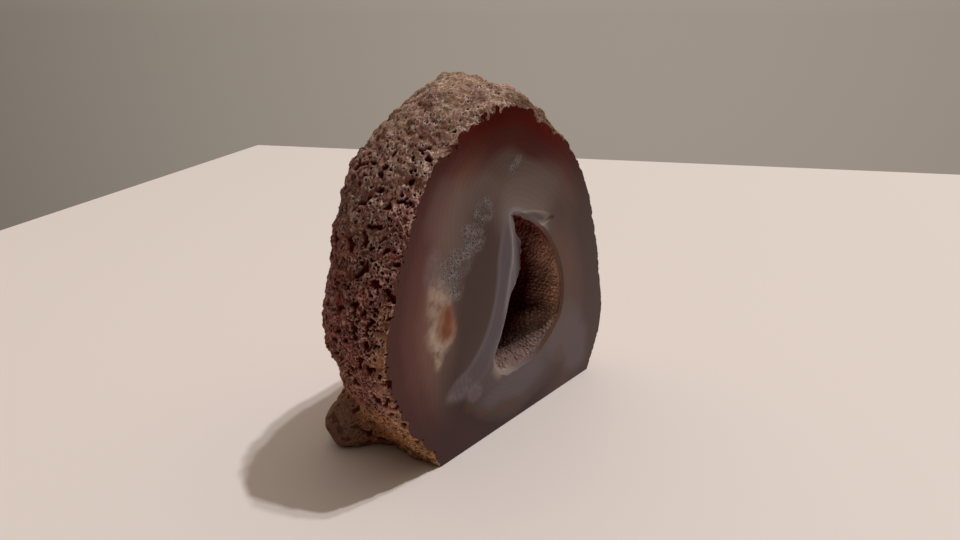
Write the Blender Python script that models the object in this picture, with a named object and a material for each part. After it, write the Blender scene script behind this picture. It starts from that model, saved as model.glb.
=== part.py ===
"""Agate geode with a polished sawn face, a flat sawn base and a hollow lined with quartz crystals.

X runs along the polished face, Y from the face into the stone and Z up from the base.
Shapes are worked out in millimetres and become metres at the end.
"""

import math

import bmesh
import bpy
from mathutils import Matrix, Vector, noise

MM = 0.001

# The three planes that matter: the polished face, the widest section of the nodule, its back.
FACE_Y = -25.0
BELLY_Y = FACE_Y + 13.0
BACK_Y = FACE_Y + 49.5

# Outline of the polished face, as (x, z). The part below z = 0 was sawn off with the base.
FACE_RIM = [
    (-50.5, 38), (-47, 59), (-37.5, 79.5), (-20.5, 93.5), (-3.5, 98), (11.5, 91), (29.5, 78),
    (42.5, 56), (50.5, 28), (49.5, 10), (35.5, -8), (3.5, -20), (-20.5, -15), (-40.5, 10),
]
FACE_CENTRE = (0.5, 42.0)
BACK_PEAK = (5.5, 34.0)

# How far the belly stands outside the face rim, and where it does so more or less:
# (direction in degrees from +X towards +Z, spread in degrees, millimetres).
BELLY_SWELL = 1.0
BELLY_LOBES = [(108, 40, 7.5), (180, 40, 2.2), (0, 50, 2.0), (225, 30, -1.5), (60, 25, 2.2)]

# A blunt knob of rind low at the back, beside the base.
KNOB_AT = Vector((-28.0, 4.5, 6.0))
KNOB_PUSH = Vector((-14.5, 3.5, -1.5))
KNOB_REACH = 10.5

# The rind's relief: broad lumps, smaller lumps, and pits.
LUMP_SIZE, LUMP_HEIGHT = 19.0, 1.3
BUMP_SIZE, BUMP_HEIGHT = 8.0, 0.6
PIT_SIZE, PIT_DEPTH, PIT_EDGE = 6.5, 1.4, 0.4

# The hollow's mouth in the polished face, as (x, z), and its depth.
MOUTH_RIM = [
    (-1.5, 68), (0, 57), (-1.5, 48.5), (-3.5, 39), (-6.5, 31), (-9.5, 24.5), (-5.5, 18), (3, 16.5),
    (13, 18), (20.5, 22.5), (26, 28.5), (27, 37), (24.5, 46.5), (18.5, 56), (10.5, 63),
]
MOUTH_CENTRE = (9.0, 39.0)
HOLLOW_BELLY_Y = FACE_Y + 6.0
HOLLOW_BACK_Y = FACE_Y + 28.0
HOLLOW_PEAK = (10.0, 36.0)
HOLLOW_SWELL = 1.0

# The quartz crust on the hollow's wall. It keeps a thin gap to the stone.
CRUST_GAP = 0.3
CRUST_THICKNESS = 1.5
CRYSTAL_HEIGHT = (1.2, 3.2)
CRYSTAL_TILT = 0.35
CRYSTAL_PATCH = 2.3
NO_CRYSTALS_BEFORE = 1.5

# How finely the forms are divided, and the share of the rind's facets that is kept.
RIND_LEVEL = 6
HOLLOW_LEVEL = 4
RIND_KEPT = 0.41

# Smallest value of 1 - (face radius / belly radius)^2, so that the front never runs out far.
LEAST_FRONT_SLOPE = 0.04

# The blocks that the saw takes off: how far they reach past the stone.
WASTE_REACH = 120.0
WASTE_DEPTH = 80.0


def smooth_loop(points, per_span=12):
    """A closed Catmull-Rom curve through the points."""
    count, loop = len(points), []
    for i in range(count):
        p0, p1, p2, p3 = (Vector(points[(i + k) % count]) for k in (-1, 0, 1, 2))
        for step in range(per_span):
            t = step / per_span
            bend = (2 * p0 - 5 * p1 + 4 * p2 - p3) * t * t
            twist = (3 * p1 - p0 - 3 * p2 + p3) * t * t * t
            loop.append(0.5 * (2 * p1 + (p2 - p0) * t + bend + twist))
    return loop


def radius_table(points, centre, steps=720):
    """The outline's distance from the centre at equal angles, starting at +X."""
    spokes = [point - Vector(centre) for point in smooth_loop(points)]
    polar = sorted((math.atan2(spoke.y, spoke.x) % math.tau, spoke.length) for spoke in spokes)
    polar = [(polar[-1][0] - math.tau, polar[-1][1])] + polar + [(polar[0][0] + math.tau, polar[0][1])]
    table, k = [], 0
    for step in range(steps):
        angle = step * math.tau / steps
        while polar[k + 1][0] <= angle:
            k += 1
        (a0, r0), (a1, r1) = polar[k], polar[k + 1]
        table.append(r0 + (r1 - r0) * (angle - a0) / (a1 - a0))
    return table


def read_table(table, angle):
    """The distance at any angle, between the table's steps."""
    place = (angle % math.tau) / math.tau * len(table)
    k = int(place)
    return table[k % len(table)] + (place - k) * (table[(k + 1) % len(table)] - table[k % len(table)])


def lobe(angle, at_deg, spread_deg):
    """1 in the lobe's own direction, falling off smoothly on both sides."""
    apart = math.remainder(angle - math.radians(at_deg), math.tau)
    return math.exp(-((apart / math.radians(spread_deg)) ** 2))


def bulb_point(direction, form):
    """The point of a closed, rounded form in this direction.

    The form passes through its rim at FACE_Y, is widest at belly_y and ends at back_y.
    """
    angle = math.atan2(direction.z, direction.x)
    rise = math.asin(max(-1.0, min(1.0, direction.y)))
    rim = read_table(form["rim"], angle)
    belly = rim + form["swell"] + sum(size * lobe(angle, at, spread) for at, spread, size in form["lobes"])
    slope = max(LEAST_FRONT_SLOPE, 1 - (rim / belly) ** 2)
    front = (form["belly_y"] - FACE_Y) / math.sqrt(slope)
    depth = front if rise < 0 else form["back_y"] - form["belly_y"]
    drift = max(0.0, math.sin(rise)) ** 2
    across = belly * math.cos(rise)
    (cx, cz), (px, pz) = form["centre"], form["peak"]
    return Vector((
        cx + (px - cx) * drift + across * math.cos(angle),
        form["belly_y"] + depth * math.sin(rise),
        cz + (pz - cz) * drift + across * math.sin(angle),
    ))


NODULE = {
    "rim": radius_table(FACE_RIM, FACE_CENTRE), "centre": FACE_CENTRE, "peak": BACK_PEAK,
    "belly_y": BELLY_Y, "back_y": BACK_Y, "swell": BELLY_SWELL, "lobes": BELLY_LOBES,
}
HOLLOW = {
    "rim": radius_table(MOUTH_RIM, MOUTH_CENTRE), "centre": MOUTH_CENTRE, "peak": HOLLOW_PEAK,
    "belly_y": HOLLOW_BELLY_Y, "back_y": HOLLOW_BACK_Y, "swell": HOLLOW_SWELL, "lobes": [],
}


def smoothstep(low, high, value):
    t = max(0.0, min(1.0, (value - low) / (high - low)))
    return t * t * (3 - 2 * t)


def rind_relief(point):
    """How far the rind stands out at this point: lumps, less a pit in the middle of each cell."""
    lumps = LUMP_HEIGHT * noise.noise(point / LUMP_SIZE) + BUMP_HEIGHT * noise.noise(point / BUMP_SIZE)
    to_pit, to_next = noise.voronoi(point / PIT_SIZE)[0][:2]
    return lumps - PIT_DEPTH * smoothstep(0.0, PIT_EDGE, to_next - to_pit)


def knob_offset(point):
    return KNOB_PUSH * math.exp(-((point - KNOB_AT).length / KNOB_REACH) ** 4)


def new_object(name, bm, material=None):
    """A mesh object from a bmesh that is still in millimetres."""
    mesh = bpy.data.meshes.new(name)
    bmesh.ops.transform(bm, matrix=Matrix.Scale(MM, 4), verts=bm.verts)
    bmesh.ops.recalc_face_normals(bm, faces=bm.faces)
    bm.to_mesh(mesh)
    bm.free()
    obj = bpy.data.objects.new(name, mesh)
    bpy.context.scene.collection.objects.link(obj)
    if material:
        mesh.materials.append(material)
    return obj


def as_cutter(obj):
    obj.hide_render = True
    obj.display_type = "WIRE"
    return obj


def cut(obj, cutter):
    step = obj.modifiers.new("cut_" + cutter.name, "BOOLEAN")
    step.operation = "DIFFERENCE"
    step.object = cutter


def bulb(form, level, inset=0.0):
    """A bmesh of the form, each point moved in along its normal by inset."""
    bm = bmesh.new()
    bmesh.ops.create_icosphere(bm, subdivisions=level, radius=1.0)
    for v in bm.verts:
        v.co = bulb_point(v.co.normalized(), form)
    bm.normal_update()
    moves = [(v, v.normal.copy()) for v in bm.verts]
    for v, normal in moves:
        v.co -= normal * inset
    return bm


def nodule():
    """The whole nodule as it was before sawing, with its pitted rind."""
    bm = bulb(NODULE, RIND_LEVEL)
    moves = [(v, v.normal.copy()) for v in bm.verts]
    for v, normal in moves:
        v.co += normal * rind_relief(v.co) + knob_offset(v.co)
    return bm


def saw_block(name, low, high):
    """A box of waste that a saw cut takes off."""
    low, high = Vector(low), Vector(high)
    place = Matrix.Translation((low + high) / 2) @ Matrix.Diagonal((*(high - low), 1.0))
    bm = bmesh.new()
    bmesh.ops.create_cube(bm, size=1.0, matrix=place)
    return as_cutter(new_object(name, bm))


def cells_of(bm):
    """A new bmesh with one many-sided cell around each vertex of the old one."""
    cells = bmesh.new()
    bm.faces.ensure_lookup_table()
    corners = [cells.verts.new(f.calc_center_median()) for f in bm.faces]
    for v in bm.verts:
        loop, ring = v.link_loops[0], []
        for _ in range(len(v.link_faces)):
            ring.append(corners[loop.face.index])
            loop = loop.link_loop_prev.link_loop_radial_next
        cells.faces.new(ring)
    cells.normal_update()
    return cells


def crystal_void():
    """The open space inside the crust: each cell of its wall is pushed in to a crystal's point."""
    wall = bulb(HOLLOW, HOLLOW_LEVEL, inset=CRUST_GAP + CRUST_THICKNESS)
    cells = cells_of(wall)
    wall.free()
    low, high = CRYSTAL_HEIGHT
    tips = []
    for face in cells.faces:
        middle = face.calc_center_median()
        if middle.y < FACE_Y + NO_CRYSTALS_BEFORE:
            continue
        height = low + (high - low) * noise.cell(middle / CRYSTAL_PATCH)
        tilt = CRYSTAL_TILT * noise.noise_vector(middle / CRYSTAL_PATCH)
        tips.append((face, middle - (face.normal + tilt) * height))
    for face, tip in tips:
        point = bmesh.ops.poke(cells, faces=[face])["verts"][0]
        point.co = tip
    return cells


def stone_material(name, colour, roughness):
    material = bpy.data.materials.new(name)
    material.use_nodes = True
    shader = material.node_tree.nodes["Principled BSDF"]
    shader.inputs["Base Color"].default_value = (*colour, 1.0)
    shader.inputs["Roughness"].default_value = roughness
    return material


def clear_scene():
    for obj in list(bpy.data.objects):
        bpy.data.objects.remove(obj, do_unlink=True)


def main():
    clear_scene()
    agate = stone_material("agate", (0.16, 0.10, 0.085), 0.35)
    quartz = stone_material("quartz", (0.30, 0.28, 0.29), 0.2)

    reach, depth = WASTE_REACH, WASTE_DEPTH
    front_waste = saw_block("front_waste", (-reach, FACE_Y - depth, -reach), (reach, FACE_Y, 2 * reach))
    base_waste = saw_block("base_waste", (-reach, FACE_Y - 2 * depth, -depth), (reach, reach, 0))
    hollow = as_cutter(new_object("hollow", bulb(HOLLOW, HOLLOW_LEVEL)))
    void = as_cutter(new_object("crystal_void", crystal_void()))

    stone = new_object("agate_nodule", nodule(), agate)
    thin_out = stone.modifiers.new("fewer_facets", "DECIMATE")
    thin_out.ratio = RIND_KEPT
    for cutter in (front_waste, base_waste, hollow):
        cut(stone, cutter)

    crust = new_object("crystal_crust", bulb(HOLLOW, HOLLOW_LEVEL, inset=CRUST_GAP), quartz)
    for cutter in (void, front_waste):
        cut(crust, cutter)


main()
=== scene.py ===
"""Looks of a standing agate geode: a pitted rind, a polished banded face and a hollow lined with quartz.

Shapes are worked out in millimetres, in the part's own frame, and become metres when a mesh is made.
"""

import itertools
import math

import bmesh
import bpy
import numpy as np
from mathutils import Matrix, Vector, noise
from mathutils.geometry import delaunay_2d_cdt


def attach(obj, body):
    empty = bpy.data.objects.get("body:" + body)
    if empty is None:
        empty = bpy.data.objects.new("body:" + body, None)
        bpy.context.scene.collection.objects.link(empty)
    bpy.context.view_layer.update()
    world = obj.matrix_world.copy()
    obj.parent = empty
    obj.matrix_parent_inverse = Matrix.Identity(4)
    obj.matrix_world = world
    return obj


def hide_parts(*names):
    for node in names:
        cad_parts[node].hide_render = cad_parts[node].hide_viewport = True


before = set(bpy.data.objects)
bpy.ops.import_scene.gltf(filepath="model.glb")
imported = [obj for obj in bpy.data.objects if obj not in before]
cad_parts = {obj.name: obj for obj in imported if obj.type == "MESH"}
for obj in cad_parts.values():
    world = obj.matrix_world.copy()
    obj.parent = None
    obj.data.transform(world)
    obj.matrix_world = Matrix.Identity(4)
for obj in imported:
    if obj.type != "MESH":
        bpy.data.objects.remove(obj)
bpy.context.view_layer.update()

MM = 0.001

# The nodule's own measures, the same as in the solid.
FACE_Y = -25.0
BELLY_Y = FACE_Y + 13.0
BACK_Y = FACE_Y + 49.5
FACE_RIM = [
    (-50.5, 38), (-47, 59), (-37.5, 79.5), (-20.5, 93.5), (-3.5, 98), (11.5, 91), (29.5, 78),
    (42.5, 56), (50.5, 28), (49.5, 10), (35.5, -8), (3.5, -20), (-20.5, -15), (-40.5, 10),
]
FACE_CENTRE = (0.5, 42.0)
BACK_PEAK = (5.5, 34.0)
BELLY_SWELL = 1.0
BELLY_LOBES = [(108, 40, 7.5), (180, 40, 2.2), (0, 50, 2.0), (225, 30, -1.5), (60, 25, 2.2)]
KNOB_AT = (-28.0, 4.5, 6.0)
KNOB_PUSH = (-14.5, 3.5, -1.5)
KNOB_REACH = 10.5
KNOB_TIP = (-45.0, 9.0, 4.5)
KNOB_SMOOTH = 12.0
LUMP_SIZE, LUMP_HEIGHT = 19.0, 1.3
BUMP_SIZE, BUMP_HEIGHT = 8.0, 0.6
MOUTH_RIM = [
    (-1.5, 68), (0, 57), (-1.5, 48.5), (-3.5, 39), (-6.5, 31), (-9.5, 24.5), (-5.5, 18), (3, 16.5),
    (13, 18), (20.5, 22.5), (26, 28.5), (27, 37), (24.5, 46.5), (18.5, 56), (10.5, 63),
]
MOUTH_CENTRE = (9.0, 39.0)
HOLLOW_BELLY_Y = FACE_Y + 6.0
HOLLOW_BACK_Y = FACE_Y + 28.0
HOLLOW_PEAK = (10.0, 36.0)
HOLLOW_SWELL = 1.0
LEAST_FRONT_SLOPE = 0.04

# Shallow swells and dents of the rind, as (x, y, z), reach and height.
SWELLS = [
    ((-1.0, -14.0, 105.0), 8.0, -2.3), ((-19.0, -4.0, 102.0), 9.0, -2.2),
    ((12.0, -18.0, 97.0), 11.0, 1.2), ((33.0, -20.0, 70.0), 20.0, 1.6),
    ((-50.0, 0.0, 48.0), 7.0, -1.5), ((-46.0, 0.0, 31.0), 6.0, -1.0), ((-30.0, 4.0, 14.0), 5.0, -1.4),
]

# The rind's weathering: knobbles, cavities, crumbs and thin ridges, each as (size, height or depth), the
# size and reach of the waver in all of them but the crumbs, and how much the whole rind has lost.
KNOBBLE = (4.2, 0.95)
CAVITY = (2.1, 0.85)
CRUMB = (0.85, 0.13)
RIDGE = (2.4, 0.22)
WAVER = (1.5, 0.3)
RIND_LOSS = 0.35

# Its pores, as (size, widest radius in sizes, depth, seed), and how high their rims stand.
PORES = [(1.35, 0.38, 0.75, 41), (0.85, 0.41, 0.5, 43)]
RIM_HEIGHT = 0.1

# The pores crowd round one height, as (height, reach, how much). They get finer towards the top, and
# the rind gets calmer towards the face at the right.
CROWDED = (38.0, 24.0, 0.6)
FINER_ABOVE = (87, 97)
CALM_RIGHT = (24, 38)

# The golden edge of the rind at the top right of the face: where it comes in along x, y and z.
GOLDEN_EDGE = ((-8, 6), (-17, -22), (50, 70))

# How fine the meshes are: the parts of a ball's edge, and the steps between points of a flat piece.
RIND_SPLITS = 225
CRYSTAL_SPLITS = 18
FACE_STEP = 0.8
MOUTH_STEP = 0.6
CHIP_STEP = 0.35
BASE_STEP = 2.0
RIND_WEDGES = 4

# The crust's wall bulges behind the lip, with the place and reach along y and z, and rises at the floor.
CRUST_THICKNESS = 1.2
BULGE_AT = (-24.0, 53.0)
BULGE_REACH = (4.5, 7.5)
BULGE_HEIGHT = 6.4
FLOOR_RISE = 3.0

# At the hollow a ledge is chipped off above it and a lip slopes in at its left, as (x, z), and its
# edge is rounded.
CHIP_RIM = [(-2.5, 67.5), (5, 67.2), (13, 65.6), (19.5, 62.6), (15, 60.4), (8, 60.5), (2, 63)]
CHIP_DEPTH = 0.6
LIP_RIM = [(-0.6, 66), (6, 64), (14, 56), (12, 46), (1, 44), (-0.4, 51)]
LIP_SLOPE = 0.42
ROUNDING = 0.35

# The blue-grey band left of the hollow, as (x, z).
BLUE_RIM = [
    (-1.5, 69), (-6, 65), (-8.3, 57), (-9, 48.5), (-11, 40.5), (-15, 33), (-21, 27.5), (-28, 24.5),
    (-31, 21), (-25, 17.5), (-16, 18.5), (-10.5, 22), (-7, 28), (-1, 37), (3, 47), (4, 57), (3, 66),
]

# The sides of the face, by the angle in degrees round a middle: where each comes in at both its ends.
SIDES_MIDDLE = (7.0, 42.0)
SIDES = {
    "top": ((132, 108), (42, 88)),
    "right": ((78, 30), (-85, -45)),
    "low": ((-176, -135), (-45, -85)),
}

# Markings in the polished face, as oval spots of (x, z, half width, half height).
MARKINGS = {
    "maroon": [(-13, 99, 20, 7), (2, 100, 9, 6)],
    "tan": [(-32, 50, 4.8, 6.5), (-31.3, 41.5, 5.2, 7.0), (-31.8, 35.5, 2.2, 4.5)],
    "amber": [(25, 43, 7, 11), (21, 53, 5, 6)],
    "iron_halo": [(-29.5, 43, 4.0, 5.0)],
    "iron": [(-28.6, 44.5, 1.5, 2.2), (-29.3, 41.8, 1.9, 2.0)],
    "crackle": [
        (-28, 55, 4.4, 5.5), (-23.5, 59.5, 4.6, 5.5), (-18.5, 65, 4.6, 5), (-14, 71, 4, 3.5),
        (-25, 51, 3, 3), (-0.5, 81.5, 2.2, 1.8),
    ],
    "haze": [(-24, 21, 5.5, 4), (-18, 17.5, 3.5, 3), (-33, 59, 4, 7)],
    "mist": [(-27, 73, 9, 10), (-15, 76, 9, 5), (7, 72, 15, 9)],
    "cloud": [(-17.5, 43, 8.5, 18)],
    "wedge": [(-6.5, 21.5, 2.6, 4.5)],
    "rust": [(-21.5, 13.5, 2.4, 2.2), (-14, 9.5, 3, 1.8), (-2, 6.5, 7, 1.6), (25, 14, 3.5, 3.5)],
    "lavender": [(28, 20, 12, 10), (36, 12, 8, 10), (26, 23, 4, 6), (2, 12, 17, 4.5)],
}

# Sizes in the agate: its bands' waver, patches of stain, bubbles, flecks, growth lines, the pale line
# along the hollow, the painted shade in the chipped ledge, and how far in from its rim the base is banded.
BAND_WAVER = 14.0
STAIN_PATCH = 3.5
BUBBLE = 0.95
FLECK = 1.5
GROWTH_LINE = 1.7
RIM_LINE = (1.7, 0.4)
LEDGE_PAINTED_SHADE = (0.8, 1.6)
BASE_BANDED = 38.0

# Sizes in the rind: patches, mottle, dust, crumbs and grit.
STONE_TALL = 107.0
SKIN_PATCH = 11.0
MOTTLE = 3.2
DUST = 3.0
CRUMB_SPECK = 0.9
GRIT = 0.8
GRIT_HEIGHT = 0.3

# The camera, at the photograph's place: millimetres, degrees, and the lens for the sensor's width.
CAMERA_AT = (-152.7, -141.3, 120.0)
CAMERA_HEADING = 49.72
CAMERA_DIP = 20.0
CAMERA_LENS = 26.25
CAMERA_SENSOR = 36.0

# The table: its far corner, how its long side is turned, and its sides.
TABLE_CORNER = (232.0, 471.0)
TABLE_TURN = math.radians(27.5)
TABLE_SIZE = (1300.0, 640.0)

# Two ceiling lamps close together: which way they are, how far and how wide in metres, and their power.
LAMP_TOWARDS = (0.34, -0.23, 1.0)
SECOND_LAMP_TOWARDS = (0.36, -0.17, 1.0)
LAMP_AWAY = 4.0
LAMP_SIZE = 0.11
LAMP_POWER, SECOND_LAMP_POWER = 55.0, 36.0

# The room's brightness: how it grows along x, y and z, its level, its least, and how softly it gets there.
ROOM_GLOW = (0.384, 0.2, 0.68)
ROOM_LEVEL = -0.092
ROOM_DIMMEST = 0.014
ROOM_SOFTNESS = 0.06


def linear(code):
    """An sRGB hex colour as linear RGBA."""
    parts = [int(code[i:i + 2], 16) / 255 for i in (0, 2, 4)]
    return [p / 12.92 if p <= 0.04045 else ((p + 0.055) / 1.055) ** 2.4 for p in parts] + [1.0]


def smoothstep(low, high, value):
    t = np.clip((value - low) / (high - low), 0.0, 1.0)
    return t * t * (3 - 2 * t)


# Random fields, worked out for whole arrays of points at once.

def scattered(cells, seed):
    """Four random numbers from 0 to 1 for each cell of a grid."""
    key = np.full(len(cells), seed * 0x9E3779B1 % 2**32, np.uint32)
    for axis, factor in enumerate((0x8DA6B343, 0xD8163841, 0xCB1AB31F)):
        key ^= cells[:, axis].astype(np.int64).astype(np.uint32) * np.uint32(factor)
    numbers = []
    for _ in range(4):
        key = (key ^ (key >> np.uint32(16))) * np.uint32(0x7FEB352D)
        key = (key ^ (key >> np.uint32(15))) * np.uint32(0x846CA68B)
        key = key ^ (key >> np.uint32(16))
        numbers.append(key / 2**32)
    return np.stack(numbers, axis=1)


def pebbled(points, size, seed):
    """Distance to the nearest and to the next scattered seed, in sizes, and the nearest one's number."""
    grid = np.floor(points / size)
    local = points / size - grid
    near = np.full(len(points), 9.0)
    beyond = np.full(len(points), 9.0)
    number = np.zeros(len(points))
    for step in itertools.product((-1, 0, 1), repeat=3):
        seeds = scattered(grid + step, seed)
        away = np.linalg.norm(seeds[:, :3] + step - local, axis=1)
        closer = away < near
        beyond = np.where(closer, near, np.minimum(beyond, away))
        number = np.where(closer, seeds[:, 3], number)
        near = np.where(closer, away, near)
    return near, beyond, number


def drifting(points, size, seed):
    """A smooth random field round 0, seldom beyond -1 or 1."""
    grid = np.floor(points / size)
    local = points / size - grid
    ease = local * local * local * (local * (local * 6 - 15) + 10)
    total = np.zeros(len(points))
    for step in itertools.product((0, 1), repeat=3):
        share = np.prod(np.where(step, ease, 1 - ease), axis=1)
        slope = scattered(grid + step, seed)[:, :3] * 2 - 1
        total += share * np.sum(slope * (local - step), axis=1)
    return total * 2.2


def warped(points, size, reach, seed):
    """The points, pushed about so that what is drawn on them wavers."""
    push = [drifting(points, size, seed + i) for i in range(3)]
    return points + reach * np.stack(push, axis=1)


# Closed curves and rounded forms.

def closed_curve(points, per_span=24):
    p = np.array(points, float)[:, None, :]
    before, after, beyond = np.roll(p, 1, 0), np.roll(p, -1, 0), np.roll(p, -2, 0)
    t = (np.arange(per_span) / per_span)[None, :, None]
    bend = (2 * before - 5 * p + 4 * after - beyond) * t * t
    twist = (3 * p - before - 3 * after + beyond) * t * t * t
    return (0.5 * (2 * p + (after - before) * t + bend + twist)).reshape(-1, 2)


def radius_at(points, centre, angle):
    spokes = closed_curve(points) - centre
    return np.interp(angle, np.arctan2(spokes[:, 1], spokes[:, 0]), np.hypot(*spokes.T), period=math.tau)


def bulb(directions, rim, centre, peak, belly_y, back_y, swell, lobes):
    """Points of a closed form that passes through its rim in the face's plane."""
    angle = np.arctan2(directions[:, 2], directions[:, 0])
    rise = np.arcsin(np.clip(directions[:, 1], -1, 1))
    at_face = radius_at(rim, centre, angle)
    belly = at_face + swell
    for at, spread, size in lobes:
        apart = np.remainder(angle - math.radians(at) + math.pi, math.tau) - math.pi
        belly = belly + size * np.exp(-((apart / math.radians(spread)) ** 2))
    slope = np.maximum(LEAST_FRONT_SLOPE, 1 - (at_face / belly) ** 2)
    depth = np.where(rise < 0, (belly_y - FACE_Y) / np.sqrt(slope), back_y - belly_y)
    drift = np.maximum(0, np.sin(rise)) ** 2
    across = belly * np.cos(rise)
    return np.stack((
        centre[0] + (peak[0] - centre[0]) * drift + across * np.cos(angle),
        belly_y + depth * np.sin(rise),
        centre[1] + (peak[1] - centre[1]) * drift + across * np.sin(angle),
    ), axis=1)


def nodule_bulb(directions):
    return bulb(directions, FACE_RIM, FACE_CENTRE, BACK_PEAK, BELLY_Y, BACK_Y, BELLY_SWELL, BELLY_LOBES)


def hollow_bulb(directions):
    return bulb(
        directions, MOUTH_RIM, MOUTH_CENTRE, HOLLOW_PEAK, HOLLOW_BELLY_Y, HOLLOW_BACK_Y, HOLLOW_SWELL, [],
    )


def ball(splits):
    """Directions and triangles of an icosahedron with each edge in so many parts."""
    bm = bmesh.new()
    bmesh.ops.create_icosphere(bm, subdivisions=1, radius=1.0)
    corners = np.array([v.co[:] for v in bm.verts])
    sides = [[v.index for v in face.verts] for face in bm.faces]
    bm.free()
    steps = [(i, j, splits - i - j) for i in range(splits + 1) for j in range(splits + 1 - i)]
    place = {(i, j): k for k, (i, j, _) in enumerate(steps)}
    up = [(place[i, j], place[i + 1, j], place[i, j + 1]) for i, j, rest in steps if rest > 0]
    down = [(place[i + 1, j], place[i + 1, j + 1], place[i, j + 1]) for i, j, rest in steps if rest > 1]
    one_side = np.array(up + down)
    grid = np.array(steps) / splits
    points = np.concatenate([grid @ corners[side] for side in sides])
    triangles = np.concatenate([one_side + k * len(steps) for k in range(len(sides))])
    keys = np.round(points * 1e6).astype(np.int64)
    _, first, same = np.unique(keys, axis=0, return_index=True, return_inverse=True)
    points = points[first]
    return points / np.linalg.norm(points, axis=1)[:, None], same.reshape(-1)[triangles]


def outward(points, triangles):
    """Unit normals at the points."""
    a, b, c = (points[triangles[:, i]] for i in range(3))
    flat = np.cross(b - a, c - a)
    normals = np.zeros_like(points)
    for i in range(3):
        for axis in range(3):
            normals[:, axis] += np.bincount(triangles[:, i], flat[:, axis], len(points))
    return normals / np.linalg.norm(normals, axis=1)[:, None]


def away_from(points, curve):
    """Distance from each point to the nearest point of a curve."""
    return np.min(np.hypot(*(points[:, None, :] - curve[None]).transpose(2, 0, 1)), axis=1)


def inside(points, edges):
    """True for the points with an odd number of outline edges both to their right and to their left."""
    to_right, to_left = np.zeros(len(points), bool), np.zeros(len(points), bool)
    for (ax, ay), (bx, by) in edges:
        if ay != by:
            level = (ay > points[:, 1]) != (by > points[:, 1])
            beyond = points[:, 0] < ax + (points[:, 1] - ay) * (bx - ax) / (by - ay)
            to_right ^= level & beyond
            to_left ^= level & ~beyond
    return to_right & to_left


def loop_edges(curve):
    return np.stack((curve, np.roll(curve, -1, 0)), axis=1)


def filled(edges, extra):
    """Points and triangles that fill flat outlines, given as edges, through some extra points."""
    corners = [Vector(p) for p in edges.reshape(-1, 2)] + [Vector(p) for p in extra]
    pairs = [(2 * k, 2 * k + 1) for k in range(len(edges))]
    points, _, faces, _, _, _ = delaunay_2d_cdt(corners, pairs, [], 1, 1e-4, False)
    points = np.array([p[:] for p in points])
    faces = np.array([face for face in faces if len(face) == 3])
    return points, faces[inside(points[faces].mean(axis=1), edges)]


# Meshes and objects.

def new_piece(name, points, faces, material, node, fields=None, smooth=True):
    """A mesh in metres that rides on the stone and stands for one of its solids."""
    mesh = bpy.data.meshes.new(name)
    mesh.from_pydata((np.asarray(points) * MM).tolist(), [], [list(face) for face in faces])
    for field, values in (fields or {}).items():
        values = np.asarray(values, np.float32)
        mesh.attributes.new(field, "FLOAT", "POINT").data.foreach_set("value", values)
    mesh.polygons.foreach_set("use_smooth", [smooth] * len(mesh.polygons))
    mesh.materials.append(material)
    mesh.update()
    piece = bpy.data.objects.new(name, mesh)
    bpy.context.scene.collection.objects.link(piece)
    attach(piece, "root")
    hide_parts(node)
    return piece


def sawn(points, triangles, fields=None, planes=("face", "base")):
    """The mesh with what lies in front of the face and below the base cut off, and the cut edges."""
    used, compact = np.unique(triangles, return_inverse=True)
    mesh = bpy.data.meshes.new("uncut")
    mesh.from_pydata(points[used].tolist(), [], compact.reshape(triangles.shape).tolist())
    for field, values in (fields or {}).items():
        values = values[used].astype(np.float32)
        mesh.attributes.new(field, "FLOAT", "POINT").data.foreach_set("value", values)
    bm = bmesh.new()
    bm.from_mesh(mesh)
    cuts = {}
    for plane in planes:
        axis, level = (1, FACE_Y) if plane == "face" else (2, 0.0)
        at, facing = [0.0, 0.0, 0.0], [0.0, 0.0, 0.0]
        at[axis], facing[axis] = level, -1.0
        everything = bm.verts[:] + bm.edges[:] + bm.faces[:]
        cut = bmesh.ops.bisect_plane(
            bm, geom=everything, dist=1e-5, plane_co=at, plane_no=facing, clear_outer=True,
        )
        flat = [edge for edge in cut["geom_cut"] if isinstance(edge, bmesh.types.BMEdge) and edge.is_valid]
        kept = [a for a in range(3) if a != axis]
        ends = [[[v.co[a] for a in kept] for v in edge.verts] for edge in flat]
        cuts[plane] = np.array(ends).reshape(-1, 2, 2)
    bm.to_mesh(mesh)
    bm.free()
    count = len(mesh.vertices)
    points = np.empty(count * 3)
    mesh.vertices.foreach_get("co", points)
    points = points.reshape(-1, 3)
    faces = [tuple(face.vertices) for face in mesh.polygons]
    kept_fields = {}
    for field in fields or {}:
        kept_fields[field] = np.empty(count, np.float32)
        mesh.attributes[field].data.foreach_get("value", kept_fields[field])
    bpy.data.meshes.remove(mesh)
    return points, faces, kept_fields, cuts


# The rind.

def knob_offset(points):
    away = np.linalg.norm(points - KNOB_AT, axis=1) / KNOB_REACH
    return np.array(KNOB_PUSH) * np.exp(-away ** 4)[:, None]


def broad_relief(points):
    """The lumps of the solid, point by point."""
    lumps = [
        LUMP_HEIGHT * noise.noise(p / LUMP_SIZE) + BUMP_HEIGHT * noise.noise(p / BUMP_SIZE)
        for p in map(Vector, points.tolist())
    ]
    return np.array(lumps)


def swells(points):
    total = np.zeros(len(points))
    for at, reach, height in SWELLS:
        total += height * np.exp(-((np.linalg.norm(points - at, axis=1) / reach) ** 2))
    return total


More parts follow.
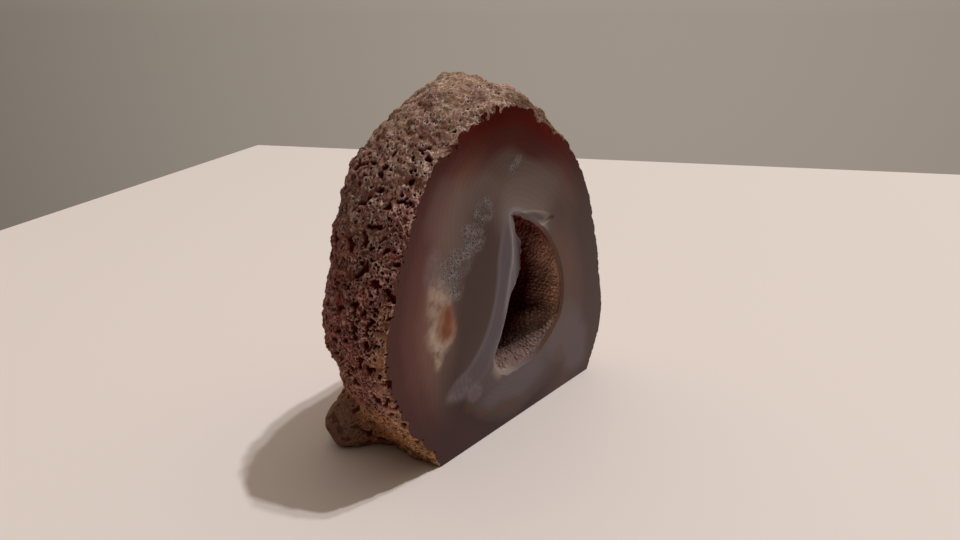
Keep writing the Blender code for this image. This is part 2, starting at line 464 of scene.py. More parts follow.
def weathering(points):
    """How deep the rind is eaten, how open its pores are from 0 to 1, and where rims and ridges stand."""
    wavering = warped(points, *WAVER, 11)
    knobbly = 0.6 * drifting(wavering, KNOBBLE[0], 31) + 0.4 * drifting(wavering, KNOBBLE[0] / 2, 32)
    crowding = 0.6 * drifting(points, 8.0, 61) + 0.5 * drifting(points, 3.6, 62)
    crowding += CROWDED[2] * np.exp(-(((points[:, 2] - CROWDED[0]) / CROWDED[1]) ** 2))
    finer = smoothstep(*FINER_ABOVE, points[:, 2])
    open_part, wall, eaten = np.zeros(len(points)), np.zeros(len(points)), np.zeros(len(points))
    for size, widest, depth, seed in PORES:
        near, _, number = pebbled(wavering, size, seed)
        width = widest * smoothstep(0.12, 0.95, number + 0.4 * crowding) * (1 - 0.3 * finer)
        hole = smoothstep(0.05, -0.12, near - width) * smoothstep(0.04, 0.12, width)
        rim = np.exp(-(((near - width - 0.07) / 0.07) ** 2)) * smoothstep(0.08, 0.16, width)
        eaten = np.maximum(eaten, depth * hole)
        open_part = np.maximum(open_part, hole)
        wall = np.maximum(wall, rim)
    cavity = smoothstep(0.46, 0.72, drifting(wavering, CAVITY[0], 71) - 0.35 * knobbly + 0.1 * crowding)
    cavity = cavity * (1 - finer)
    eaten = np.maximum(eaten, CAVITY[1] * cavity)
    pit = np.maximum(open_part, cavity)
    wall = wall * (1 - pit)
    ridge = smoothstep(0.17, 0.02, np.abs(drifting(wavering, RIDGE[0], 81)))
    ridge = ridge * (1 - pit) * (0.35 + 0.65 * smoothstep(-0.3, 0.4, crowding))
    crumbs = CRUMB[1] * drifting(points, CRUMB[0], 77)
    calm = 1 - 0.55 * np.exp(-((np.linalg.norm(points - KNOB_TIP, axis=1) / KNOB_SMOOTH) ** 4))
    right_edge = smoothstep(*CALM_RIGHT, points[:, 0]) * smoothstep(BELLY_Y, FACE_Y, points[:, 1])
    calm = calm * (1 - 0.65 * right_edge)
    relief = KNOBBLE[1] * knobbly + crumbs
    lost = RIND_LOSS - relief * calm + (eaten - RIM_HEIGHT * wall - RIDGE[1] * ridge) * calm
    return lost, pit * calm, np.maximum(wall, 0.85 * ridge)


def build_rind(material):
    """The rind in wedges round the stone. Returns the edges where the saw cut it."""
    directions, triangles = ball(RIND_SPLITS)
    smooth = nodule_bulb(directions)
    lumps = broad_relief(smooth) + swells(smooth)
    placed = smooth + knob_offset(smooth)
    normals = outward(placed, triangles)
    eaten, pit, wall = weathering(placed)
    points = placed + normals * (lumps - eaten)[:, None]
    knob = np.exp(-((np.linalg.norm(placed - KNOB_TIP, axis=1) / KNOB_SMOOTH) ** 4))
    golden = np.prod([smoothstep(*ends, placed[:, k]) for k, ends in enumerate(GOLDEN_EDGE)], axis=0)
    fields = {"pit": pit, "wall": wall, "knob": knob, "golden": golden}
    kept = (points[triangles, 1].max(axis=1) > FACE_Y) & (points[triangles, 2].max(axis=1) > 0)
    triangles = triangles[kept]
    middle = directions[triangles[:, 0]]
    turn = np.arctan2(middle[:, 2], middle[:, 0])
    cuts = {"face": [], "base": []}
    for k, wedge in enumerate(np.array_split(triangles[np.argsort(turn)], RIND_WEDGES)):
        part, faces, values, cut = sawn(points, wedge, fields)
        new_piece(f"rind_{k + 1}", part, faces, material, "agate_nodule", values)
        for plane in cuts:
            cuts[plane].append(cut[plane])
    return {plane: np.concatenate(found) for plane, found in cuts.items()}


# The polished face and the sawn base.

def far_inside(flat, rim):
    """How far inside a closed curve each point lies, 0 outside it."""
    curve = closed_curve(rim, 40)
    return np.where(inside(flat, loop_edges(curve)), away_from(flat, curve), 0.0)


def ledge_depth(flat):
    """How far the ledges lie behind the face."""
    chip = CHIP_DEPTH * smoothstep(0.0, 1.0, far_inside(flat, CHIP_RIM))
    lip = LIP_SLOPE * far_inside(flat, LIP_RIM)
    rounded = ROUNDING * np.minimum(far_inside(flat, MOUTH_RIM), CRUST_THICKNESS) ** 2
    return np.maximum(np.maximum(chip, lip), rounded)


def mouth_curve():
    """The hollow's edge in the face, a little uneven."""
    curve = closed_curve(MOUTH_RIM)
    spokes = curve - MOUTH_CENTRE
    flat = np.column_stack((curve, np.zeros(len(curve))))
    return MOUTH_CENTRE + spokes * (1 + 0.012 * drifting(flat, 3.0, 101))[:, None]


def points_between(low, high, step):
    """A staggered grid of points."""
    rows = []
    for k, z in enumerate(np.arange(low[1], high[1], step * 0.866)):
        x = np.arange(low[0], high[0], step) + step / 2 * (k % 2)
        rows.append(np.column_stack((x, np.full(len(x), z))))
    return np.concatenate(rows)


def blot(flat, spots):
    """A soft mask of oval spots given as (x, z, half width, half height)."""
    mask = np.zeros(len(flat))
    for x, z, width, height in spots:
        away = np.hypot((flat[:, 0] - x) / width, (flat[:, 1] - z) / height)
        mask = np.maximum(mask, smoothstep(1.25, 0.55, away))
    return mask


def face_fields(flat):
    """Where a point of the cut lies: between rim and hollow, on which side, and in which marking."""
    solid = np.column_stack((flat, np.zeros(len(flat))))
    bent = (solid + 1.4 * np.stack([drifting(solid, 9.0, 111 + i) for i in range(3)], axis=1))[:, :2]
    rim, mouth = closed_curve(FACE_RIM), closed_curve(MOUTH_RIM)
    to_rim, to_mouth = away_from(flat, rim), away_from(flat, mouth)
    to_rim = np.where(inside(flat, loop_edges(rim)), to_rim, 0.0)
    turn = np.degrees(np.arctan2(flat[:, 1] - SIDES_MIDDLE[1], flat[:, 0] - SIDES_MIDDLE[0]))
    fields = {"band": to_rim / (to_rim + to_mouth), "mouth_mm": to_mouth}
    for side, (one_end, other_end) in SIDES.items():
        fields[side] = smoothstep(*one_end, turn) * smoothstep(*other_end, turn)
    # How far inside the chipped ledge, fading to the right: where its painted highlight and painted shade
    # go.
    fields["chip_mm"] = far_inside(flat, CHIP_RIM) * smoothstep(21, 7, flat[:, 0])
    blue = far_inside(flat, BLUE_RIM)
    fades = 0.35 + 0.65 * smoothstep(19, 30, flat[:, 1])
    fields["blue"] = smoothstep(0.0, 2.6, blue) * fades
    line = np.exp(-(((blue - 1.7) / 0.8) ** 2)) * smoothstep(0, 1, blue) * smoothstep(0, -3, flat[:, 0])
    fields["blue_line"] = line * fades
    for name, spots in MARKINGS.items():
        fields[name] = blot(bent, spots)
    return fields


def build_face(rim_edges, material):
    """The polished face, with the hollow left open. Returns the edge where the base cuts it."""
    grid = points_between((-56, -8), (56, 102), FACE_STEP)
    chip = points_between((-4, 58), (22, 69), CHIP_STEP)
    mouth = mouth_curve()
    extra = np.concatenate((grid, chip, closed_curve(CHIP_RIM, 12)))
    flat, faces = filled(np.concatenate((rim_edges, loop_edges(mouth))), extra)
    points = np.insert(flat, 1, FACE_Y + ledge_depth(flat), axis=1)
    points, faces, _, cuts = sawn(points, faces, planes=("base",))
    fields = face_fields(points[:, (0, 2)])
    new_piece("polished_face", points, faces, material, "agate_nodule", fields)
    return cuts["base"]


def build_base(edges, material):
    """The sawn base, facing down."""
    low, high = edges.reshape(-1, 2).min(axis=0), edges.reshape(-1, 2).max(axis=0)
    flat, faces = filled(edges, points_between(low, high, BASE_STEP))
    points = np.insert(flat, 2, 0.0, axis=1)
    to_rim = away_from(flat, edges.mean(axis=1))
    fields = {"band": to_rim / BASE_BANDED, "mouth_mm": BASE_BANDED - to_rim}
    new_piece("sawn_base", points, faces[:, ::-1], material, "agate_nodule", fields)


# The quartz crust.

def crust_wall(directions, triangles):
    """The wall that the crystals stand on, its normals into the hollow, and how smooth it is."""
    outer = hollow_bulb(directions)
    x, y, z = outer.T
    into = -outward(outer, triangles)
    bulge = np.hypot((y - BULGE_AT[0]) / BULGE_REACH[0], (z - BULGE_AT[1]) / BULGE_REACH[1])
    bulge = BULGE_HEIGHT * np.exp(-(bulge ** 3)) * smoothstep(8, 4, x) * smoothstep(61, 54, z)
    floor = FLOOR_RISE * smoothstep(30, 18, z) * smoothstep(FACE_Y, FACE_Y + 9, y)
    lumps = 0.9 * drifting(outer, 6.0, 121) * smoothstep(FACE_Y, FACE_Y + 5, y)
    wall = outer + into * (CRUST_THICKNESS + bulge + floor + lumps)[:, None]
    front_floor = smoothstep(30, 22, z) * smoothstep(FACE_Y + 12, FACE_Y + 6, y)
    smooth = np.maximum(0.85 * smoothstep(0.2, 2.0, bulge), 0.4 * front_floor)
    return wall, into, smooth


def crystals(directions, triangles):
    """One pointed quartz crystal on each cell of the wall."""
    wall, into, smooth = crust_wall(directions, triangles)
    middles = wall[triangles].mean(axis=1)
    around = [[] for _ in wall]
    for k, triangle in enumerate(triangles):
        for corner in triangle:
            around[corner].append(k)
    chance = scattered(np.arange(len(wall))[:, None] * (1, 7, 13), 5)
    points, faces = middles.tolist(), []
    for k, ring in enumerate(around):
        side = np.cross(into[k], (0.3, 0.5, 0.8))
        side /= np.linalg.norm(side)
        other = np.cross(into[k], side)
        spokes = middles[ring] - wall[k]
        ring = [ring[i] for i in np.argsort(np.arctan2(spokes @ other, spokes @ side))]
        width = np.linalg.norm(middles[ring] - wall[k], axis=1).mean()
        grown = smoothstep(FACE_Y + 0.5, FACE_Y + 4.0, wall[k, 1]) * (1 - smooth[k])
        shaft = grown * width * (0.1 + 0.9 * chance[k, 0] ** 3)
        point = width * (0.15 + 0.6 * grown)
        axis = into[k] + 0.5 * grown * (chance[k, 1:] - 0.5)
        first = len(points)
        shrunk = wall[k] + (middles[ring] - wall[k]) * (0.9 - 0.12 * chance[k, 0])
        points += (shrunk + axis * shaft).tolist()
        points.append((wall[k] + axis * (shaft + point)).tolist())
        count = len(ring)
        for i in range(count):
            j = (i + 1) % count
            faces.append((ring[i], ring[j], first + j))
            faces.append((ring[i], first + j, first + i))
            faces.append((first + i, first + j, first + count))
    return np.array(points), np.array(faces)


def build_crust(material):
    """The crystals and the ring of quartz that the saw cut across in the face."""
    directions, triangles = ball(CRYSTAL_SPLITS)
    jitter = scattered(np.arange(len(directions))[:, None] * (3, 5, 11), 7)[:, :3] - 0.5
    directions = directions + jitter * 0.9 / CRYSTAL_SPLITS
    directions /= np.linalg.norm(directions, axis=1)[:, None]
    points, faces = crystals(directions, triangles)
    points, faces, _, cuts = sawn(points, faces, planes=("face",))
    between = points_between((-12, 14), (30, 70), MOUTH_STEP)
    flat, ring = filled(np.concatenate((cuts["face"], loop_edges(mouth_curve()))), between)
    ring_points = np.insert(flat, 1, FACE_Y + ledge_depth(flat), axis=1)
    points[:, 1] = np.maximum(points[:, 1], FACE_Y + ledge_depth(points[:, (0, 2)]))
    ring_faces = [tuple(int(i) + len(points) for i in face) for face in ring]
    everything = np.concatenate((points, ring_points))
    faces = faces + ring_faces
    new_piece("quartz_crust", everything, faces, material, "crystal_crust", smooth=False)


# Materials.

# The agate's bands from its rim, 0, to the hollow, 1: on the left, and on the other sides of the face.
LEFT_BANDS = [
    (0.0, "532B24"), (0.08, "582D25"), (0.14, "673A34"), (0.2, "6C4138"), (0.28, "7E554A"),
    (0.36, "7B5F54"), (0.44, "6D534A"), (0.52, "624A43"), (0.6, "4F332E"), (0.68, "4C312C"),
    (0.84, "4E3632"), (0.95, "5B4A4A"),
]
OTHER_BANDS = {
    "top": [
        (0.0, "660D00"), (0.08, "580A00"), (0.14, "581306"), (0.24, "502017"), (0.36, "55251F"),
        (0.46, "634D45"), (0.6, "69534B"), (0.76, "745D55"), (0.9, "7F6E67"), (0.97, "86756B"),
    ],
    "right": [
        (0.0, "412721"), (0.1, "452B24"), (0.42, "4A2C25"), (0.6, "583C35"), (0.85, "60433C"),
        (0.97, "5E433A"),
    ],
    "low": [
        (0.0, "411F1D"), (0.4, "42201E"), (0.56, "3A1B1C"), (0.63, "4E3930"), (0.7, "544142"),
        (0.9, "5E5051"), (0.97, "645555"),
    ],
}

# The markings in the order in which they lie over one another, with how strong they are.
MARKING_COLOURS = [
    ("maroon", 0.85, "480A02"), ("mist", 0.4, "7F6E68"), ("cloud", 0.6, "49342D"),
    ("lavender", 0.6, "6C5F64"), ("haze", 0.4, "84757A"), ("blue", 0.9, "62545A"),
    ("blue_line", 0.5, "7B7076"), ("tan", 0.8, "CEB39C"), ("amber", 0.6, "6B4530"),
    ("iron_halo", 0.8, "9A6238"), ("iron", 0.85, "7A3412"), ("rust", 0.45, "5F361F"),
    ("wedge", 0.85, "9C8375"),
]

# From a bubble's middle to its wall, in the crackle.
BUBBLE_COLOURS = [(0.1, "201817"), (0.28, "423837"), (0.42, "968B8A"), (0.6, "736967"), (0.85, "504644")]

# The rind's skin, and the pale dust and painted highlight on its pores' walls, from the table, 0, to the
# top, 1.
SKIN_COLOURS = [
    (0.0, "A26A42"), (0.2, "8A5238"), (0.35, "642A22"), (0.6, "763C32"), (0.8, "7A5042"), (1.0, "92725A"),
]
WALL_DUST_AND_HIGHLIGHT_COLOURS = [(0.0, "ECC89A"), (0.2, "ECC0A0"), (0.4, "F0BEAC"), (0.8, "F4D8CA")]

# The crust from the face inwards, darker deeper in, partly smoky and rust-stained and partly painted shade,
# and the lip's shade from left to right.
CRUST_COLOURS_AND_DEPTH_SHADE = [(0.0, "5E5351"), (0.07, "62524E"), (0.2, "44201A"), (0.45, "580309"), (1.0, "480207")]
LIP_COLOURS = [(0.0, "766E74"), (0.45, "5C545A"), (0.85, "33282C")]


def add(tree, kind, inputs=None, stops=None, **settings):
    """Adds a node, with its settings, its sockets' values or links, and a colour ramp's stops.

    Sockets go by name or number. A Map Range takes its value, where it comes from and where it goes to as
    0 to 4. A Mix of colours takes the second colour's share, the first colour and the second as 0, 6 and 7.
    """
    node = tree.nodes.new(kind)
    for name, value in settings.items():
        setattr(node, name, value)
    for socket, value in (inputs or {}).items():
        if isinstance(value, bpy.types.NodeSocket):
            tree.links.new(value, node.inputs[socket])
        else:
            node.inputs[socket].default_value = value
    if stops:
        ramp = node.color_ramp
        while len(ramp.elements) < len(stops):
            ramp.elements.new(1.0)
        for element, (place, code) in zip(ramp.elements, stops):
            element.position = place
            element.color = linear(code)
    return node


def new_material(name, surface):
    """A material with one shader, whose sockets start at the surface's values."""
    material = bpy.data.materials.new(name)
    material.use_nodes = True
    tree = material.node_tree
    tree.nodes.clear()
    shader = add(tree, "ShaderNodeBsdfPrincipled", surface)
    add(tree, "ShaderNodeOutputMaterial", {"Surface": shader.outputs[0]})
    return material, tree, shader


def agate(name, roughness):
    """Agate, banded chalcedony, sawn: soft brown and mauve bands at its rim, blue-grey round the hollow."""
    surface = {"Roughness": roughness, "IOR": 1.54, "Specular IOR Level": 0.18}
    material, tree, shader = new_material(name, surface)
    place = add(tree, "ShaderNodeTexCoord").outputs["Object"]
    fields = {
        field: add(tree, "ShaderNodeAttribute", attribute_name=field).outputs["Fac"]
        for field in ("band", "mouth_mm", "chip_mm", "blue", "blue_line", *SIDES, *MARKINGS)
    }

    # The bands waver a little, and differ on each side of the face.
    waver = add(tree, "ShaderNodeTexNoise", {"Vector": place, "Scale": 1 / (BAND_WAVER * MM), "Detail": 3.0})
    waver = add(tree, "ShaderNodeMapRange", {0: waver.outputs["Fac"], 1: 0.3, 2: 0.7, 3: -0.025, 4: 0.025})
    band = add(tree, "ShaderNodeMath", {0: fields["band"], 1: waver.outputs[0]}, operation="ADD").outputs[0]
    colour = add(tree, "ShaderNodeValToRGB", {"Fac": band}, stops=LEFT_BANDS).outputs["Color"]
    layers = []
    for side, stops in OTHER_BANDS.items():
        bands = add(tree, "ShaderNodeValToRGB", {"Fac": band}, stops=stops).outputs["Color"]
        layers.append((fields[side], bands))

    # Tan, crackle and iron stain are patchy.
    patches = {"Vector": place, "Scale": 1 / (STAIN_PATCH * MM), "Detail": 4.0}
    patches = add(tree, "ShaderNodeTexNoise", patches).outputs["Fac"]
    patchy = add(tree, "ShaderNodeMapRange", {0: patches, 1: 0.38, 2: 0.58, 3: 0.2, 4: 1.0}).outputs[0]
    uneven = add(tree, "ShaderNodeMapRange", {0: patchy, 1: 0.2, 2: 1.0, 3: 0.75, 4: 1.0}).outputs[0]
    for field, cover in (("tan", patchy), ("crackle", patchy), ("iron", uneven), ("iron_halo", uneven)):
        covered = add(tree, "ShaderNodeMath", {0: fields[field], 1: cover}, operation="MULTIPLY")
        fields[field] = covered.outputs[0]
    for field, share, code in MARKING_COLOURS:
        strength = add(tree, "ShaderNodeMath", {0: fields[field], 1: share}, operation="MULTIPLY").outputs[0]
        layers.append((strength, linear(code)))

    # The crackle is a foam of small bubbles.
    bubbles = add(tree, "ShaderNodeTexVoronoi", {"Vector": place, "Scale": 1 / (BUBBLE * MM)})
    bubbles = add(tree, "ShaderNodeValToRGB", {"Fac": bubbles.outputs["Distance"]}, stops=BUBBLE_COLOURS)
    layers.append((fields["crackle"], bubbles.outputs["Color"]))

    # Pale flecks lie in the haze and the tan, but not in the iron stain.
    flecks = add(tree, "ShaderNodeTexNoise", {"Vector": place, "Scale": 1 / (FLECK * MM), "Detail": 2.0})
    flecks = add(tree, "ShaderNodeMapRange", {0: flecks.outputs["Fac"], 1: 0.46, 2: 0.74, 3: 0.0, 4: 0.6})
    faint = add(tree, "ShaderNodeMath", {0: fields["haze"], 1: 0.4}, operation="MULTIPLY").outputs[0]
    where = add(tree, "ShaderNodeMath", {0: faint, 1: fields["tan"]}, operation="MAXIMUM").outputs[0]
    where = {0: where, 1: fields["iron_halo"]}
    where = add(tree, "ShaderNodeMath", where, operation="SUBTRACT", use_clamp=True).outputs[0]
    strength = add(tree, "ShaderNodeMath", {0: flecks.outputs[0], 1: where}, operation="MULTIPLY").outputs[0]
    layers.append((strength, linear("9A8C8A")))

    # A pale line runs along the hollow, on its left side only.
    rim_line = {0: fields["mouth_mm"], 1: RIM_LINE[0], 2: RIM_LINE[1], 3: 0.0, 4: 0.8}
    rim_line = add(tree, "ShaderNodeMapRange", rim_line).outputs[0]
    for side, gone in (("right", 0.4), ("low", 0.7)):
        off_side = {0: fields[side], 1: 0.0, 2: gone, 3: 1.0, 4: 0.0}
        off_side = add(tree, "ShaderNodeMapRange", off_side).outputs[0]
        rim_line = add(tree, "ShaderNodeMath", {0: rim_line, 1: off_side}, operation="MULTIPLY").outputs[0]
    layers.append((rim_line, linear("968C8E")))
    for share, layer in layers:
        colour = add(tree, "ShaderNodeMix", {0: share, 6: colour, 7: layer}, data_type="RGBA").outputs[2]

    # Faint growth lines follow the hollow.
    lines = {0: fields["mouth_mm"], 1: math.tau / GROWTH_LINE}
    lines = add(tree, "ShaderNodeMath", lines, operation="MULTIPLY").outputs[0]
    lines = add(tree, "ShaderNodeMath", {0: lines}, operation="SINE").outputs[0]
    lines = add(tree, "ShaderNodeMapRange", {0: lines, 1: -1.0, 2: 1.0, 3: 0.97, 4: 1.03}).outputs[0]
    colour = add(tree, "ShaderNodeVectorMath", {0: colour, 1: lines}, operation="MULTIPLY").outputs[0]

    # The chipped ledge gets a painted highlight along its broken edge and painted shade inside.
    # A painted highlight along the ledge's broken edge.
    edge = add(tree, "ShaderNodeValToRGB", {"Fac": fields["chip_mm"]}, stops=[
        (0.0, "000000"), (0.15, "B8B8B8"), (0.5, "B8B8B8"), (1.0, "000000"),
    ]).outputs["Color"]
    # Painted shade inside the ledge.
    painted_ledge_shade = {0: fields["chip_mm"], 1: LEDGE_PAINTED_SHADE[0], 2: LEDGE_PAINTED_SHADE[1], 3: 0.0, 4: 0.5}
    painted_ledge_shade = add(tree, "ShaderNodeMapRange", painted_ledge_shade).outputs[0]
    for share, layer in ((edge, linear("A6978D")), (painted_ledge_shade, linear("453836"))):
        colour = add(tree, "ShaderNodeMix", {0: share, 6: colour, 7: layer}, data_type="RGBA").outputs[2]
    tree.links.new(colour, shader.inputs["Base Color"])
    return material


def pitted_rind():
    """The nodule's natural skin, weathered chalcedony and clay: thin pale pore rims of dust and painted
    highlight round dark pores, dark partly in their own colour and partly as painted shade.
    """
    surface = {"Roughness": 0.8, "IOR": 1.5, "Specular IOR Level": 0.1}
    material, tree, shader = new_material("pitted_rind", surface)
    place = add(tree, "ShaderNodeTexCoord").outputs["Object"]
    x, y, z = add(tree, "ShaderNodeSeparateXYZ", {0: place}).outputs
    pit, wall, knob, golden = [
        add(tree, "ShaderNodeAttribute", attribute_name=field).outputs["Fac"]
        for field in ("pit", "wall", "knob", "golden")
    ]

    # The skin's colour goes by height, in large patches, but not at the far side and in a strip at the face.
    patches = {"Vector": place, "Scale": 1 / (SKIN_PATCH * MM), "Detail": 3.0}
    patches = add(tree, "ShaderNodeTexNoise", patches).outputs["Fac"]
    push = add(tree, "ShaderNodeMapRange", {0: patches, 1: 0.3, 2: 0.7, 3: -18 * MM, 4: 18 * MM})
    height = add(tree, "ShaderNodeMath", {0: z, 1: push.outputs[0]}, operation="ADD").outputs[0]
    level = add(tree, "ShaderNodeMapRange", {0: height, 1: 0.0, 2: STONE_TALL * MM}).outputs[0]
    skin = add(tree, "ShaderNodeValToRGB", {"Fac": level}, stops=SKIN_COLOURS).outputs["Color"]
    far_side = add(tree, "ShaderNodeMapRange", {0: x, 1: 10 * MM, 2: 35 * MM, 4: 0.65}).outputs[0]
    strip = add(tree, "ShaderNodeMapRange", {0: y, 1: -19 * MM, 2: -23.5 * MM, 4: 0.6}).outputs[0]
    strip_low = add(tree, "ShaderNodeMapRange", {0: height, 1: 60 * MM, 2: 48 * MM}).outputs[0]
    strip = add(tree, "ShaderNodeMath", {0: strip, 1: strip_low}, operation="MULTIPLY").outputs[0]
    for share, layer in ((far_side, linear("6E4C3C")), (strip, linear("A87C58"))):
        skin = add(tree, "ShaderNodeMix", {0: share, 6: skin, 7: layer}, data_type="RGBA").outputs[2]

    # Grit and a coarser mottle, weaker near the top, make it lighter and darker.
    grit = {"Vector": place, "Scale": 1 / (GRIT * MM), "Detail": 4.0, "Roughness": 0.65}
    grit = add(tree, "ShaderNodeTexNoise", grit).outputs["Fac"]
    shade = add(tree, "ShaderNodeMapRange", {0: grit, 1: 0.35, 2: 0.65, 3: 0.78, 4: 1.22}).outputs[0]
    mottle = {"Vector": place, "Scale": 1 / (MOTTLE * MM), "Detail": 3.0, "Roughness": 0.6}
    mottle = add(tree, "ShaderNodeTexNoise", mottle).outputs["Fac"]
    mottle = add(tree, "ShaderNodeMapRange", {0: mottle, 1: 0.35, 2: 0.65, 3: 0.4, 4: 1.6}).outputs[0]
    evener = add(tree, "ShaderNodeMapRange", {0: level, 1: 0.55, 2: 0.85, 3: 0.0, 4: 0.6}).outputs[0]
    mottle = add(tree, "ShaderNodeMix", {0: evener, 2: mottle, 3: 1.0}, data_type="FLOAT").outputs[0]
    shade = add(tree, "ShaderNodeMath", {0: shade, 1: mottle}, operation="MULTIPLY").outputs[0]
    colour = add(tree, "ShaderNodeVectorMath", {0: skin, 1: shade}, operation="MULTIPLY").outputs[0]

    # Pale dust, and a painted highlight with it, lies on the pores' walls and ridges and in crumbs, stronger
    # near the face, less on the knob and at the golden edge.
    dust = {"Vector": place, "Scale": 1 / (DUST * MM), "Detail": 2.0}
    dust = add(tree, "ShaderNodeTexNoise", dust).outputs["Fac"]
    dust = add(tree, "ShaderNodeMapRange", {0: dust, 1: 0.36, 2: 0.6, 3: 0.5, 4: 1.0}).outputs[0]
    pale = add(tree, "ShaderNodeMath", {0: wall, 1: dust}, operation="MULTIPLY").outputs[0]
    crumbs = {"Vector": place, "Scale": 1 / (CRUMB_SPECK * MM), "Detail": 4.0, "Distortion": 0.8}
    crumbs = add(tree, "ShaderNodeTexNoise", crumbs).outputs["Fac"]
    crumbs = add(tree, "ShaderNodeMapRange", {0: crumbs, 1: 0.52, 2: 0.7}).outputs[0]
    crumby = add(tree, "ShaderNodeMapRange", {0: level, 1: 0.55, 2: 0.85, 3: 0.2, 4: 0.33}).outputs[0]
    crumbs = add(tree, "ShaderNodeMath", {0: crumbs, 1: crumby}, operation="MULTIPLY").outputs[0]
    pale = add(tree, "ShaderNodeMath", {0: pale, 1: crumbs}, operation="MAXIMUM").outputs[0]
    near_face = add(tree, "ShaderNodeMapRange", {0: y, 1: -10 * MM, 2: -22 * MM, 3: 0.6, 4: 1.0}).outputs[0]
    off_knob = add(tree, "ShaderNodeMapRange", {0: knob, 3: 1.0, 4: 0.3}).outputs[0]
    off_golden = add(tree, "ShaderNodeMapRange", {0: golden, 3: 1.0, 4: 0.35}).outputs[0]
    for less in (near_face, off_knob, off_golden):
        pale = add(tree, "ShaderNodeMath", {0: pale, 1: less}, operation="MULTIPLY").outputs[0]
    # The colour of the pale dust and painted highlight, by height.
    walls = add(tree, "ShaderNodeValToRGB", {"Fac": level}, stops=WALL_DUST_AND_HIGHLIGHT_COLOURS).outputs["Color"]

    # The knob darkens to its end, and the pores, dark partly in their own colour and partly as painted
    # shade, are browner on the far side.
    knob_end = add(tree, "ShaderNodeMapRange", {0: x, 1: -44 * MM, 2: -51 * MM}).outputs[0]
    knob_skin = {0: knob_end, 6: linear("92705F"), 7: linear("6A3C30")}
    knob_skin = add(tree, "ShaderNodeMix", knob_skin, data_type="RGBA").outputs[2]
    hole = {0: far_side, 6: linear("4A0A05"), 7: linear("301610")}
    hole = add(tree, "ShaderNodeMix", hole, data_type="RGBA").outputs[2]
    # Over the skin go the knob, the golden edge, the pale dust with its painted highlight, and the pores'
    # colour with painted shade.
    for share, layer in ((knob, knob_skin), (golden, linear("5C3E22")), (pale, walls), (pit, hole)):
        colour = add(tree, "ShaderNodeMix", {0: share, 6: colour, 7: layer}, data_type="RGBA").outputs[2]
    bump = add(tree, "ShaderNodeBump", {"Height": grit, "Strength": 0.7, "Distance": GRIT_HEIGHT * MM})
    tree.links.new(bump.outputs[0], shader.inputs["Normal"])
    tree.links.new(colour, shader.inputs["Base Color"])
    return material


def drusy_quartz():
    """Quartz grown as a crust of small points: glassy, grey at the rim, smoky and rust-stained inside,
    darkened further by painted shade deeper in and at the top of the hollow.
    """
    surface = {"Roughness": 0.4, "IOR": 1.55, "Specular IOR Level": 0.15}
    material, tree, shader = new_material("drusy_quartz", surface)
    place = add(tree, "ShaderNodeTexCoord").outputs["Object"]
    x, y, z = add(tree, "ShaderNodeSeparateXYZ", {0: place}).outputs
    # Deeper in, the crust darkens: partly its own smoky, rust-stained colour, partly painted shade.
    inward = add(tree, "ShaderNodeMapRange", {0: y, 1: FACE_Y * MM, 2: HOLLOW_BACK_Y * MM}).outputs[0]
    colour = add(tree, "ShaderNodeValToRGB", {"Fac": inward}, stops=CRUST_COLOURS_AND_DEPTH_SHADE).outputs["Color"]
    on_right = add(tree, "ShaderNodeMapRange", {0: x, 1: 4 * MM, 2: 16 * MM}).outputs[0]
    ring = {0: on_right, 6: linear("7A7072"), 7: linear("66493B")}
    ring = add(tree, "ShaderNodeMix", ring, data_type="RGBA").outputs[2]
    across = add(tree, "ShaderNodeMapRange", {0: x, 1: 0.0, 2: 8 * MM}).outputs[0]
    lip = add(tree, "ShaderNodeValToRGB", {"Fac": across}, stops=LIP_COLOURS).outputs["Color"]

    # Parts of the crust with a colour and strength of their own, or with painted shade at the top of the
    # hollow, and along which axis, from which millimetre to which, each comes in.
    parts = {
        "right wall": (linear("D8A88C"), 0.95, [(x, 10, 21), (y, FACE_Y + 14, FACE_Y + 5)]),
        # Painted shade, darkening the top of the hollow.
        "painted shade under the roof": (linear("6A261A"), 0.9, [(z, 45, 57)]),
        "front of the floor": (linear("826860"), 1.0, [(z, 31, 23), (y, FACE_Y + 13, FACE_Y + 6)]),
        "ring in the face": (ring, 1.0, [(y, FACE_Y + 1.6, FACE_Y + 0.3)]),
        "lip": (lip, 1.0, [(x, 8.5, 4.5), (y, FACE_Y + 6, FACE_Y + 3), (z, 40, 48), (z, 65, 58)]),
        "low corner": (linear("94837A"), 1.0, [(x, 3, -1), (z, 24.5, 21.2), (y, FACE_Y + 4, FACE_Y + 2)]),
    }
    for layer, share, limits in parts.values():
        for along, start, full in limits:
            reached = add(tree, "ShaderNodeMapRange", {0: along, 1: start * MM, 2: full * MM}).outputs[0]
            share = add(tree, "ShaderNodeMath", {0: share, 1: reached}, operation="MULTIPLY").outputs[0]
        colour = add(tree, "ShaderNodeMix", {0: share, 6: colour, 7: layer}, data_type="RGBA").outputs[2]
    tree.links.new(colour, shader.inputs["Base Color"])
    return material


# The set: floor, light and camera.

def build_floor():
    """A plain table top, laminate or painted board: pale, warm white and matt."""
    along = Vector((-math.cos(TABLE_TURN), -math.sin(TABLE_TURN), 0))
    across = Vector((-along.y, along.x, 0))
    corner = Vector((*TABLE_CORNER, 0))
    bm = bmesh.new()
    reach = [(0, 0), (TABLE_SIZE[0], 0), (TABLE_SIZE[0], TABLE_SIZE[1]), (0, TABLE_SIZE[1])]
    top = [bm.verts.new((corner + along * a + across * b) * MM) for a, b in reach]
    bm.faces.new(top)
    mesh = bpy.data.meshes.new("floor")
    bm.to_mesh(mesh)
    bm.free()
    floor = bpy.data.objects.new("floor", mesh)
    bpy.context.scene.collection.objects.link(floor)
    material, _, _ = new_material("pale_table", {"Base Color": linear("E8DCD6"), "Roughness": 0.6})
    mesh.materials.append(material)


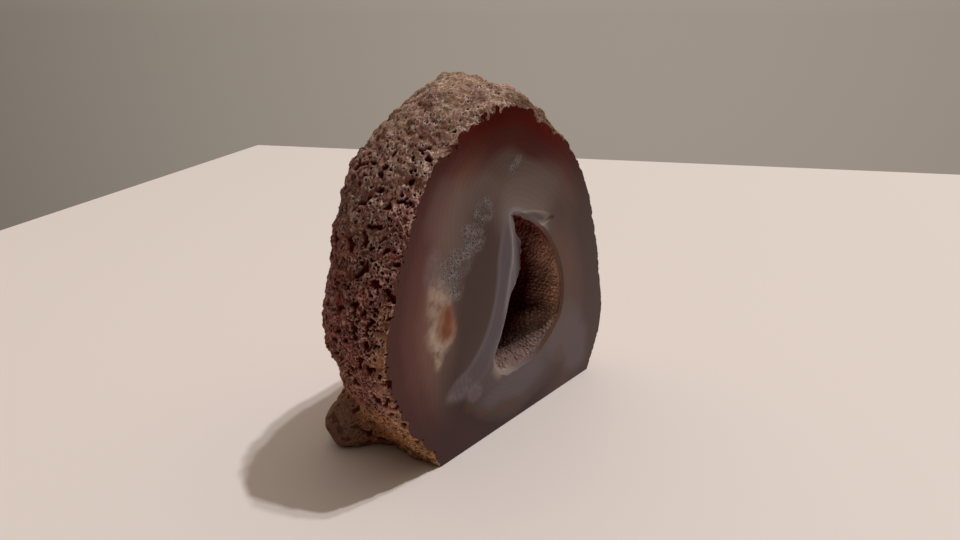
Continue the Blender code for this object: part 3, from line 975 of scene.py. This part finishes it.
def build_lamp(name, towards, power):
    lamp = bpy.data.lights.new(name, "AREA")
    lamp.shape = "DISK"
    lamp.size = LAMP_SIZE
    lamp.energy = power
    lamp.color = linear("FBFDFF")[:3]
    fitting = bpy.data.objects.new(name, lamp)
    bpy.context.scene.collection.objects.link(fitting)
    fitting.location = Vector(towards).normalized() * LAMP_AWAY
    fitting.rotation_euler = Vector(towards).to_track_quat("Z", "Y").to_euler()


def build_light():
    """Two lamps over a room that is bright above and to the right, and dim in front and to the left."""
    world = bpy.data.worlds.new("room")
    world.use_nodes = True
    tree = world.node_tree
    towards = add(tree, "ShaderNodeTexCoord").outputs["Generated"]
    above = add(tree, "ShaderNodeVectorMath", {0: towards, 1: (-1.0, -1.0, 0.0)}, operation="MAXIMUM")
    glow = add(tree, "ShaderNodeVectorMath", {0: above.outputs[0], 1: ROOM_GLOW}, operation="DOT_PRODUCT")
    glow = add(tree, "ShaderNodeMath", {0: glow.outputs["Value"], 1: ROOM_LEVEL}, operation="ADD")
    dimmest = {0: glow.outputs[0], 1: ROOM_DIMMEST, 2: ROOM_SOFTNESS}
    glow = add(tree, "ShaderNodeMath", dimmest, operation="SMOOTH_MAX")
    background = tree.nodes["Background"]
    background.inputs["Color"].default_value = linear("FFEFDE")
    tree.links.new(glow.outputs[0], background.inputs["Strength"])
    bpy.context.scene.world = world
    build_lamp("lamp", LAMP_TOWARDS, LAMP_POWER)
    build_lamp("second_lamp", SECOND_LAMP_TOWARDS, SECOND_LAMP_POWER)
    bpy.context.scene.view_settings.view_transform = "Standard"


def build_camera():
    lens = bpy.data.cameras.new("camera")
    lens.lens = CAMERA_LENS
    lens.sensor_width = CAMERA_SENSOR
    lens.clip_start, lens.clip_end = 0.01, 20.0
    camera = bpy.data.objects.new("camera", lens)
    bpy.context.scene.collection.objects.link(camera)
    camera.location = Vector(CAMERA_AT) * MM
    camera.rotation_euler = (math.radians(90 - CAMERA_DIP), 0, -math.radians(CAMERA_HEADING))
    bpy.context.scene.camera = camera


def main():
    rind = pitted_rind()
    polished = agate("polished_agate", 0.25)
    sawn_agate = agate("sawn_agate", 0.6)
    cuts = build_rind(rind)
    base_edge = build_face(cuts["face"], polished)
    build_base(np.concatenate((cuts["base"], base_edge)), sawn_agate)
    build_crust(drusy_quartz())
    build_floor()
    build_light()
    build_camera()


main()
